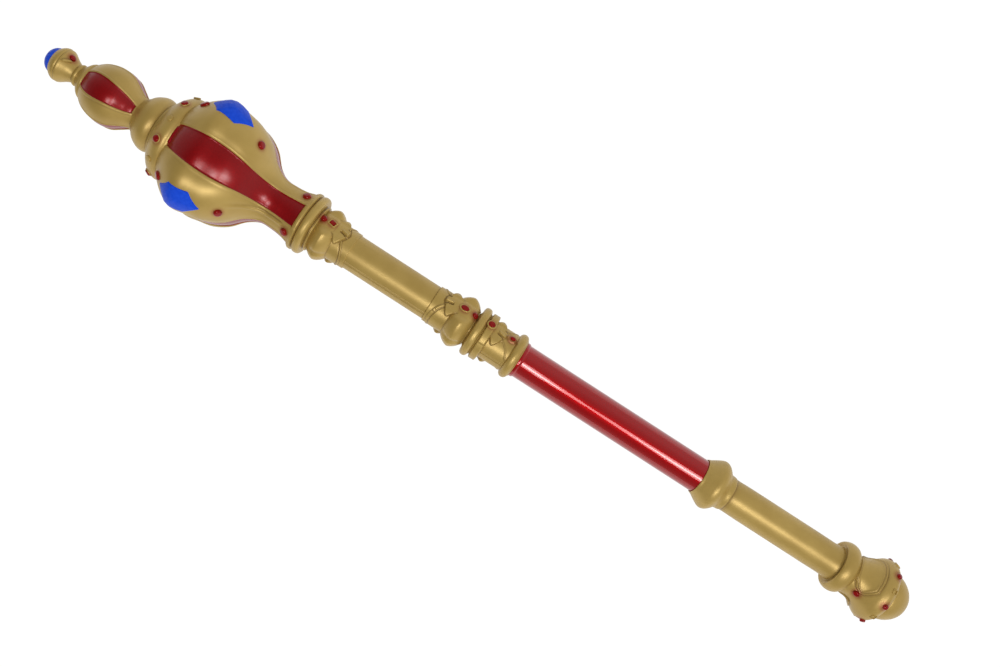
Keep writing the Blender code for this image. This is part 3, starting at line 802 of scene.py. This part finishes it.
def lower_sleeve_stamp(heights, turns):
    middle = (BAND_TOP + BAND_BOTTOM) / 2
    flat = np.clip(1 - np.abs((heights - middle) / (BAND_TOP - middle)) ** 10, 0, 1)
    band = (2.6 + 0.3 * ramp(off_leaf(turns), 54, 51)) * flat
    swags = swag_relief(heights, turns, LOWER_OUTER_SWAG, LOWER_INNER_SWAG) * ramp(off_leaf(turns), 11, 15)
    radius = SLEEVE + swags * ramp(heights, 249.0, 249.5) + parting_ridge(turns, SLEEVE)
    outline = mirrored(flat_drawing(TONGUE, SLEEVE))
    for leaf_turn in LEAF_TURNS:
        x = np.radians(apart(turns, leaf_turn + 3)) * SLEEVE
        tongue = ramp(outline_distance(x, heights, outline), -0.1, 0.7)
        radius = np.maximum(radius, SLEEVE + 0.75 * tongue)
    leaf = leaf_relief(heights, turns, 259.2, -1)
    radius = np.maximum(radius, SLEEVE - LEAF_ROOT + leaf * (heights < BAND_BOTTOM + 1))
    radius = np.maximum(radius, SLEEVE + np.where((heights < BAND_TOP) & (heights > BAND_BOTTOM), band, 0))
    return heights, turns, radius


lower_levels = levels_between(268.0, BAND_TOP, BAND_BOTTOM, 248.6, spacing=0.26)
lower_sleeve = roll_sheet("lower_sleeve", 240, lower_levels, lower_sleeve_stamp)

# %% [markdown]
# The tube is a plain length of pipe under candy red lacquer. Where the lacquer ran up against the gold
# ring it left a low rim.

# %% The red tube
red_tube = turn_on_lathe(
    "red_tube_lacquered",
    (9.3, 248.1, "corner"), (9.3, 243.4, "corner"), (9.9, 243.0), (10.0, 242.4), (9.85, 241.6),
    (9.45, 241.0), (9.3, 240.6, "corner"), (9.3, 200.0, "corner"), (9.3, 160.0, "corner"),
    (9.3, 128.0, "corner"), (9.3, 124.3, "corner"),
)

# %% [markdown]
# The grip starts with a rounded nut, runs down a plain handle and ends in the ring of the pommel.

# %% Nut, handle and pommel ring
grip_handle = turn_on_lathe(
    "grip_handle",
    (9.4, 126.0, "corner"), (9.45, 129.3, "corner"), (9.8, 129.6), (10.1, 129.2), (10.4, 128.4),
    (11.6, 126.4), (13.3, 123.4), (14.0, 121.8), (14.1, 120.6), (13.7, 119.2), (12.4, 117.4),
    (10.9, 116.0), (10.2, 115.3), (9.9, 114.4), (9.75, 113.0), (9.6, 112.2), (9.3, 111.7), (9.3, 100.0),
    (9.3, 80.0), (9.3, 60.0), (9.35, 46.4), (9.6, 44.8), (9.8, 43.3, "corner"), (10.6, 43.5),
    (11.6, 44.0), (12.6, 44.0), (13.4, 43.0), (13.95, 41.5), (14.1, 39.8), (13.8, 38.0), (12.9, 36.4),
    (11.6, 35.5), (10.9, 35.0, "corner"), (10.7, 34.4),
)

# %% [markdown]
# The pommel is a flared cup with two wide shields on it, each framed by a double ridge, and a band of studs
# round its widest part.

# %% The pommel cup
POMMEL_TURN = 36.5
CUP = (
    (35.2, 10.7), (33.0, 11.0), (30.6, 11.2), (26.8, 12.6), (23.0, 15.2), (20.4, 17.0), (17.9, 17.7),
    (16.0, 17.4), (13.9, 15.6), (12.6, 13.4), (12.0, 12.2),
)
SHIELD_RADIUS = 13.0  # the sleeve that the shields are drawn on
SHIELD = ((0, 36.0), (33, 35.4), (58, 31.6), (66, 28.6), (61, 26.6), (39, 22.8), (20, 22.2), (0, 22.0))


def pommel_stamp(heights, turns):
    base = curve_through(CUP, heights)
    local = (apart(turns, POMMEL_TURN) + 90) % 180 - 90
    outline = mirrored(flat_drawing(SHIELD, SHIELD_RADIUS))
    x = np.radians(local) * SHIELD_RADIUS
    distance = outline_distance(x, heights, outline)
    plate = 0.35 * ramp(distance, -0.35, 0.15)
    ridges = 0.42 * hump(distance - 0.3, 0.32) + 0.30 * hump(distance - 1.45, 0.32)
    moat = -0.25 * hump(distance + 0.55, 0.4)
    return heights, turns, base + (plate + ridges + moat) * ramp(heights, 34.9, 34.3)


pommel_cup = roll_sheet("pommel_cup", 288, levels_between(35.2, 12.0, spacing=0.24), pommel_stamp)

# %% [markdown]
# A shallow dome closes the pommel. It ends at height 0.

# %% The end of the pommel
pommel_dome = turn_on_lathe(
    "pommel_dome",
    (12.8, 14.0, "corner"), (13.3, 12.6), (13.2, 11.0), (12.6, 8.6), (11.2, 5.8), (8.9, 3.0), (5.8, 0.9),
    (2.6, 0.1), (0, 0.0),
)

# %% [markdown]
# Every stud and gem was moulded as a bump and painted with the tip of a brush. There are five patterns:
# round, square and low studs, and round and square bezels. Each copy has its own mesh.

# %% Patterns for the small gems
ROOT = 1.2  # how far a stud reaches into its host


def square_up(sides):
    """Turns a four-sided pattern until its sides, and not its corners, face along and across."""
    if sides == 4:
        bpy.ops.object.mode_set(mode="EDIT")
        bpy.ops.mesh.select_all(action="SELECT")
        bpy.ops.transform.rotate(value=math.pi / 4, orient_axis="Z", center_override=(0, 0, 0))
        bpy.ops.object.mode_set(mode="OBJECT")


def stud_pattern(name, sides, radius, rise):
    """A low gem with a bevelled crown, on a root."""
    deselect()
    middle = (0, 0, (rise - ROOT) / 2 * MM)
    bpy.ops.mesh.primitive_cylinder_add(
        vertices=sides, radius=radius * MM, depth=(rise + ROOT) * MM, location=middle
    )
    gem = bpy.context.object
    gem.name = name
    square_up(sides)
    bevel = gem.modifiers.new("Crown", "BEVEL")
    bevel.width = rise * 0.75 * MM
    bevel.segments = 4 if sides > 4 else 2
    bevel.limit_method = "ANGLE"
    bpy.ops.object.modifier_apply(modifier="Crown")
    bpy.ops.object.shade_smooth_by_angle(angle=math.radians(50 if sides > 4 else 30))
    return gem


def bezel_pattern(name, sides, radius, thickness):
    """The raised ring that holds a gem, with that many sides."""
    deselect()
    bpy.ops.mesh.primitive_torus_add(
        major_segments=sides, minor_segments=10, major_radius=radius * MM, minor_radius=thickness * MM,
        location=(0, 0, 0),
    )
    ring = bpy.context.object
    ring.name = name
    square_up(sides)
    bpy.ops.object.shade_smooth_by_angle(angle=math.radians(60))
    return ring


ROUND = stud_pattern("round_pattern", 20, 1.9, 1.1)
SQUARE = stud_pattern("square_pattern", 4, 2.0, 0.6)
LOW = stud_pattern("low_pattern", 20, 1.8, 0.5)
ROUND_BEZEL = bezel_pattern("round_bezel_pattern", 28, 2.05, 0.42)
SQUARE_BEZEL = bezel_pattern("square_bezel_pattern", 4, 2.5, 0.5)

# %% [markdown]
# A ray towards the axis finds the place of each copy on its host. The three directions of that place are
# left-handed, which turns a copy inside out, so its faces are turned back outwards.

# %% The small gems
small_gems = []
trees = {}


def copy_to(pattern, name, place, stretch=(1, 1, 1)):
    deselect()
    gem = pattern.copy()
    gem.data = pattern.data.copy()
    gem.name = name
    gem.data.name = name
    bpy.context.scene.collection.objects.link(gem)
    gem.data.transform(place @ Matrix.Diagonal((*stretch, 1)))
    if place.determinant() < 0:
        gem.data.flip_normals()
    return gem


def host_tree(host):
    body = bmesh.new()
    body.from_mesh(host.data)
    tree = BVHTree.FromBMesh(body)
    body.free()
    return tree


def seat(tree, turn, height, spin):
    """A place on a host's skin: its up leaves the skin, and its x runs towards the tip."""
    angle = math.radians(turn)
    radial = Vector((math.cos(angle), math.sin(angle), 0))
    start = radial * 0.06 + Vector((0, 0, height * MM))
    hit, normal, _, _ = tree.ray_cast(start, -radial)
    up = normal if normal.dot(radial) > 0 else -normal
    side = Vector((0, 0, 1)).cross(up).normalized()
    place = Matrix((up.cross(side).normalized(), side, up)).transposed().to_4x4()
    place.translation = hit
    return place @ Matrix.Rotation(math.radians(spin), 4, "Z")


def add_gem(pattern, name, host, turn, height, stretch=(1, 1, 1), spin=0.0, finish=GEM_RED):
    node = "grip_moulding" if host is pommel_cup else "head_moulding"
    if host.name not in trees:
        trees[host.name] = host_tree(host)
    place = seat(trees[host.name], turn, height, spin)
    gem = copy_to(pattern, name, place, stretch)
    small_gems.append((gem, node, finish, place.translation.copy()))


for index in range(12):
    turn, red = 17 + 30 * index, index % 2
    pattern, finish = (ROUND, GEM_RED) if red else (LOW, GOLD)
    add_gem(pattern, f"crown_stud_{index:02d}", knop_and_crown, turn, 453.6, finish=finish)
    if red:
        bezel = f"crown_bezel_{index:02d}"
        add_gem(ROUND_BEZEL, bezel, knop_and_crown, turn, 453.6, (0.95, 0.95, 0.8), finish=GOLD)
for quarter in range(4):
    turn = HEAD_TURN + 45 + 90 * quarter
    add_gem(ROUND, f"crest_gem_{quarter}", great_bulb, turn, 443.4, (1.5, 0.95, 1.1))
    add_gem(ROUND, f"pillow_stud_{quarter}", great_bulb, turn - 2, 409.5, (1.15, 1.15, 1.1))
    add_gem(ROUND, f"foot_stud_{quarter}", great_bulb, turn, 378.8, (1.1, 1.1, 1.2))
add_gem(ROUND, "tip_gem", finial, 50, 517.5, (0.95, 0.8, 1.0))
add_gem(ROUND, "tip_streak", finial, 19, 518.3, (1.5, 0.34, 2.2), -35, GOLD)
for side, turn in enumerate(LEAF_TURNS):
    add_gem(ROUND, f"ball_gem_{side}", upper_knuckle, turn - 4, 365.4, (0.85, 0.85, 1.5))
    add_gem(SQUARE, f"upper_gem_{side}", upper_knuckle, turn - 2, 360.6, (1.1, 0.85, 1), 12)
    add_gem(SQUARE_BEZEL, f"upper_bezel_{side}", upper_knuckle, turn - 2, 360.6, (1.1, 0.85, 1), 12, GOLD)
    add_gem(LOW, f"middle_gem_{side}", middle_knuckle, turn - 1, 280.6, (1.3, 0.85, 1))
    add_gem(
        ROUND_BEZEL, f"middle_bezel_{side}", middle_knuckle, turn - 1, 280.6, (1.3, 0.85, 1), finish=GOLD
    )
    add_gem(ROUND, f"groove_gem_{side}", middle_knuckle, turn, 274.2, (1.0, 0.8, 1))
    add_gem(LOW, f"band_gem_{side}", lower_sleeve, turn - 2, 264.6, (1.1, 0.95, 1))
    add_gem(ROUND_BEZEL, f"band_bezel_{side}", lower_sleeve, turn - 2, 264.6, (1.1, 0.95, 1), finish=GOLD)
    add_gem(ROUND, f"tongue_gem_{side}", lower_sleeve, turn + 3, 251.4, (0.8, 0.55, 1))
for index, turn in enumerate((-37, 143)):
    add_gem(ROUND, f"cup_gem_{index}", pommel_cup, turn, 29.2, (1.0, 0.8, 1))
for index in range(12):
    turn, name = 15 + 30 * index, f"pommel_stud_{index:02d}"
    if index % 2:
        add_gem(ROUND, name, pommel_cup, turn, 16.5, (0.8, 0.8, 1))
    else:
        add_gem(SQUARE_BEZEL, name, pommel_cup, turn, 16.5, (0.65, 0.65, 0.9), finish=GOLD)
print("small gems:", len(small_gems))

# %% [markdown]
# The four blue gems are long hexagons cut with six facets that meet in a point. Each is cut flat, in
# millimetres, and then draped over the crest of a pillow. What was x becomes its height, which turns it
# inside out, so its faces are turned back outwards too.

# %% Blue gems
BLUE_MIDDLE = 427.5
BLUE_CORNERS = ((12.8, 0), (7.4, 6.4), (-3.1, 6.8), (-10.6, 0), (-3.1, -6.8), (7.4, -6.4))
BLUE_TURNS = (50, 137, 226, 316)
BLUE_ROOT = 2.5  # how deep a gem is rooted in its pillow
BLUE_BEND = 70  # twice the radius of the bend across a gem
BLUE_WRAP = 34.0  # the radius that turns its width into degrees
BLUE_WAIST = 0.12  # how much wider it gets at its widest


def cut_blue_gem():
    """A flat hexagon, thickened, with its top face raised to a point."""
    deselect()
    bpy.ops.mesh.primitive_circle_add(vertices=6, radius=1, fill_type="NGON", location=(0, 0, 0))
    gem = bpy.context.object
    ring = sorted(gem.data.vertices, key=lambda vertex: math.atan2(vertex.co.y, vertex.co.x) % math.tau)
    for vertex, (onward, sideways) in zip(ring, BLUE_CORNERS):
        vertex.co = (onward, sideways, -BLUE_ROOT)
    bpy.ops.object.mode_set(mode="EDIT")
    bpy.ops.mesh.select_all(action="SELECT")
    bpy.ops.mesh.extrude_region_move(TRANSFORM_OT_translate={"value": (0, 0, BLUE_ROOT + 0.3)})
    bpy.ops.mesh.inset(thickness=0.55, depth=0.45)
    bpy.ops.mesh.poke(offset=0.8)
    bpy.ops.mesh.subdivide(number_cuts=2)
    bpy.ops.mesh.select_all(action="SELECT")
    bpy.ops.mesh.fill_holes(sides=0)
    bpy.ops.mesh.normals_make_consistent(inside=False)
    bpy.ops.object.mode_set(mode="OBJECT")
    return gem


def drape_on_pillow(gem, turn):
    crest = HEAD_TURN + 45 + 90 * round((turn - HEAD_TURN - 45) / 90)
    for vertex in gem.data.vertices:
        onward, sideways, rise = vertex.co
        height = BLUE_MIDDLE + onward
        skin = float(bulb_skin(np.array([height]), np.array([crest]))[0])
        bend = skin - sideways**2 / BLUE_BEND
        wider = 1 + BLUE_WAIST * max(0, 1 - ((onward - 2.2) / 6) ** 2)
        angle = math.radians(turn) + sideways * wider / BLUE_WRAP
        radius = bend + rise
        vertex.co = Vector((radius * math.cos(angle), radius * math.sin(angle), height)) * MM


blue_pattern = cut_blue_gem()
blue_gems = []
for index, turn in enumerate(BLUE_TURNS):
    gem = copy_to(blue_pattern, f"blue_gem_{index}", Matrix.Identity(4))
    drape_on_pillow(gem, turn)
    deselect()
    gem.select_set(True)
    bpy.context.view_layer.objects.active = gem
    bevel = gem.modifiers.new("Softened edges", "BEVEL")
    bevel.width = 0.35 * MM
    bevel.segments = 2
    bevel.limit_method = "ANGLE"
    bevel.angle_limit = math.radians(9)
    bpy.ops.object.modifier_apply(modifier="Softened edges")
    bpy.ops.object.shade_smooth_by_angle(angle=math.radians(14))
    gem.data.flip_normals()
    blue_gems.append(gem)
for pattern in (blue_pattern, ROUND, SQUARE, LOW, ROUND_BEZEL, SQUARE_BEZEL):
    bpy.data.objects.remove(pattern)
print("blue gems:", [gem.name for gem in blue_gems])

# %% [markdown]
# Painting a gem by hand leaves a soft red haze on the gold round it. Its strength at each point of a gold
# piece comes from the distance to the nearest red gem. Each point also gets a value for how hollow the skin
# is round it, which darkens the gold there as painted shade in the grooves.

# %% Overspray and painted groove shade
gold_pieces = {
    "head_moulding": (
        finial, onion_bulb, knop_and_crown, great_bulb, flange, upper_knuckle, shaft, middle_knuckle,
        knuckle_ring, lower_sleeve, tube_ring,
    ),
    "grip_moulding": (grip_handle, pommel_cup, pommel_dome),
}
red_places = np.array([place for _, _, finish, place in small_gems if finish is GEM_RED])
MIST_START = 1.9  # the haze is full up to here, in millimetres from the middle of a gem,
MIST_REACH = 1.3  # and gone about twice this further out


def add_mist(piece):
    points = read_rows(piece.data.vertices, "co", 3)
    nearest = np.full(len(points), 1.0)
    for place in red_places:
        nearest = np.minimum(nearest, np.linalg.norm(points - place, axis=1))
    set_attribute(piece, "mist", 0.6 * hump(np.clip(nearest / MM - MIST_START, 0, None), MIST_REACH))


def add_groove_shade(piece, blur=3):
    """Painted shade for the grooves: strong where the skin is hollow along some edge, 0 where it is flat or
    bulges.
    """
    mesh = piece.data
    points = read_rows(mesh.vertices, "co", 3) / MM
    normals = read_rows(mesh.vertex_normals, "vector", 3)
    ends = read_rows(mesh.edges, "vertices", 2, np.int32)
    here, there = np.concatenate((ends, ends[:, ::-1])).T
    step = points[there] - points[here]
    bend = 2 * (step * normals[here]).sum(axis=1) / np.maximum((step**2).sum(axis=1), 0.01)
    hollow = np.zeros(len(points))
    np.maximum.at(hollow, here, bend)
    groove_shade = np.clip((hollow - 0.4) / 1.8, 0, 1)
    count = np.bincount(here, minlength=len(points))
    for _ in range(blur):
        around = np.bincount(here, groove_shade[there], len(points)) / np.maximum(count, 1)
        groove_shade = np.maximum(groove_shade * 0.75, 0.5 * groove_shade + 0.5 * around)
    set_attribute(piece, "groove_shade", np.clip(groove_shade * 0.9, 0, 0.85))


for pieces in gold_pieces.values():
    for piece in pieces:
        add_mist(piece)
        add_groove_shade(piece)
print("red gems:", len(red_places))

# %% [markdown]
# Every piece now gets its finish and its place. New finishes make a mesh forget which face has which, so
# that list is kept and put back.

# %% Everything is laid down
second_finish = {finial: GEM_BLUE, onion_bulb: STRIPE_RED, great_bulb: STRIPE_RED}
for node, pieces in gold_pieces.items():
    for piece in pieces:
        extra = [second_finish[piece]] if piece in second_finish else []
        chosen = read_rows(piece.data.polygons, "material_index", 1, np.int32)
        finish_piece(piece, node, [GOLD] + extra)
        piece.data.polygons.foreach_set("material_index", chosen.ravel())
finish_piece(red_tube, "red_tube", [TUBE_RED])
for gem, node, finish, _ in small_gems:
    finish_piece(gem, node, [finish])
for gem in blue_gems:
    finish_piece(gem, "head_moulding", [GEM_BLUE])

# %% [markdown]
# The sceptre lies on white paper that is lit until it shows as pure white, without a shadow, so the paper
# glows and takes hardly any other light. Two soft boxes with brighter middles stand side by side along the
# sceptre, just off the camera, and the room round them is brighter on one side.

# %% Floor
GAP = 0.0002  # metres, keeps the paper clear of the flat spots
deselect()
bpy.ops.mesh.primitive_plane_add(size=6, location=(0, 0, -GAP))
floor = bpy.context.object
floor.name = "floor"
paper, _, paper_shader = new_finish("white_paper")
set_values(paper_shader, {"Base Color": (0.05, 0.05, 0.05, 1), "Roughness": 0.9, "Specular IOR Level": 0.0})
set_values(paper_shader, {"Emission Color": (1, 1, 1, 1), "Emission Strength": 1.0})
floor.data.materials.append(paper)

# %% Lights and camera
def soft_box(name, location, target, size, power):
    light = bpy.data.lights.new(name, "AREA")
    light.shape = "RECTANGLE"
    light.size, light.size_y = size
    light.energy = power
    lamp = bpy.data.objects.new(name, light)
    lamp.location = location
    lamp.rotation_euler = (Vector(target) - Vector(location)).to_track_quat("-Z", "Y").to_euler()
    bpy.context.scene.collection.objects.link(lamp)


soft_box("key_left", (0.03, -0.39, 1.0), (0.0, 0, 0), (0.32, 0.42), 2.4)
soft_box("key_left_hot_middle", (0.03, -0.38, 0.98), (0.0, 0, 0), (0.20, 0.14), 0.9)
soft_box("key_right", (0.46, -0.27, 1.0), (0.2, 0, 0), (0.44, 0.42), 3.2)
soft_box("key_right_hot_middle", (0.45, -0.26, 0.98), (0.2, 0, 0), (0.24, 0.14), 1.3)
sky = bpy.data.worlds.new("studio")
sky.use_nodes = True
background = sky.node_tree.nodes["Background"]
direction = add_node(sky.node_tree, "ShaderNodeTexCoord").outputs["Generated"]
towards = add_node(
    sky.node_tree, "ShaderNodeVectorMath", {0: direction}, {1: (-0.3, -0.55, 0.8)}, operation="DOT_PRODUCT"
)
walls = add_node(sky.node_tree, "ShaderNodeValToRGB", {"Fac": towards.outputs["Value"]})
for stop, position, grey in zip(walls.color_ramp.elements, (0.0, 0.85), (0.62, 0.14)):
    stop.position, stop.color = position, (grey, grey, grey, 1)
sky.node_tree.links.new(walls.outputs["Color"], background.inputs["Color"])
background.inputs["Strength"].default_value = 1.0
bpy.context.scene.world = sky
bpy.context.scene.view_settings.view_transform = "Standard"

camera_data = bpy.data.cameras.new("camera")
camera_data.lens = 35
camera_data.sensor_width = 36
camera = bpy.data.objects.new("camera", camera_data)
camera.location = (0.0070, 0.0060, 0.533)
camera.rotation_euler = (0, 0, math.radians(32.875))
bpy.context.scene.collection.objects.link(camera)
bpy.context.scene.camera = camera

# %% [markdown]
# Last, the view layer is brought up to date.

# %% Bring the scene up to date
bpy.context.view_layer.update()
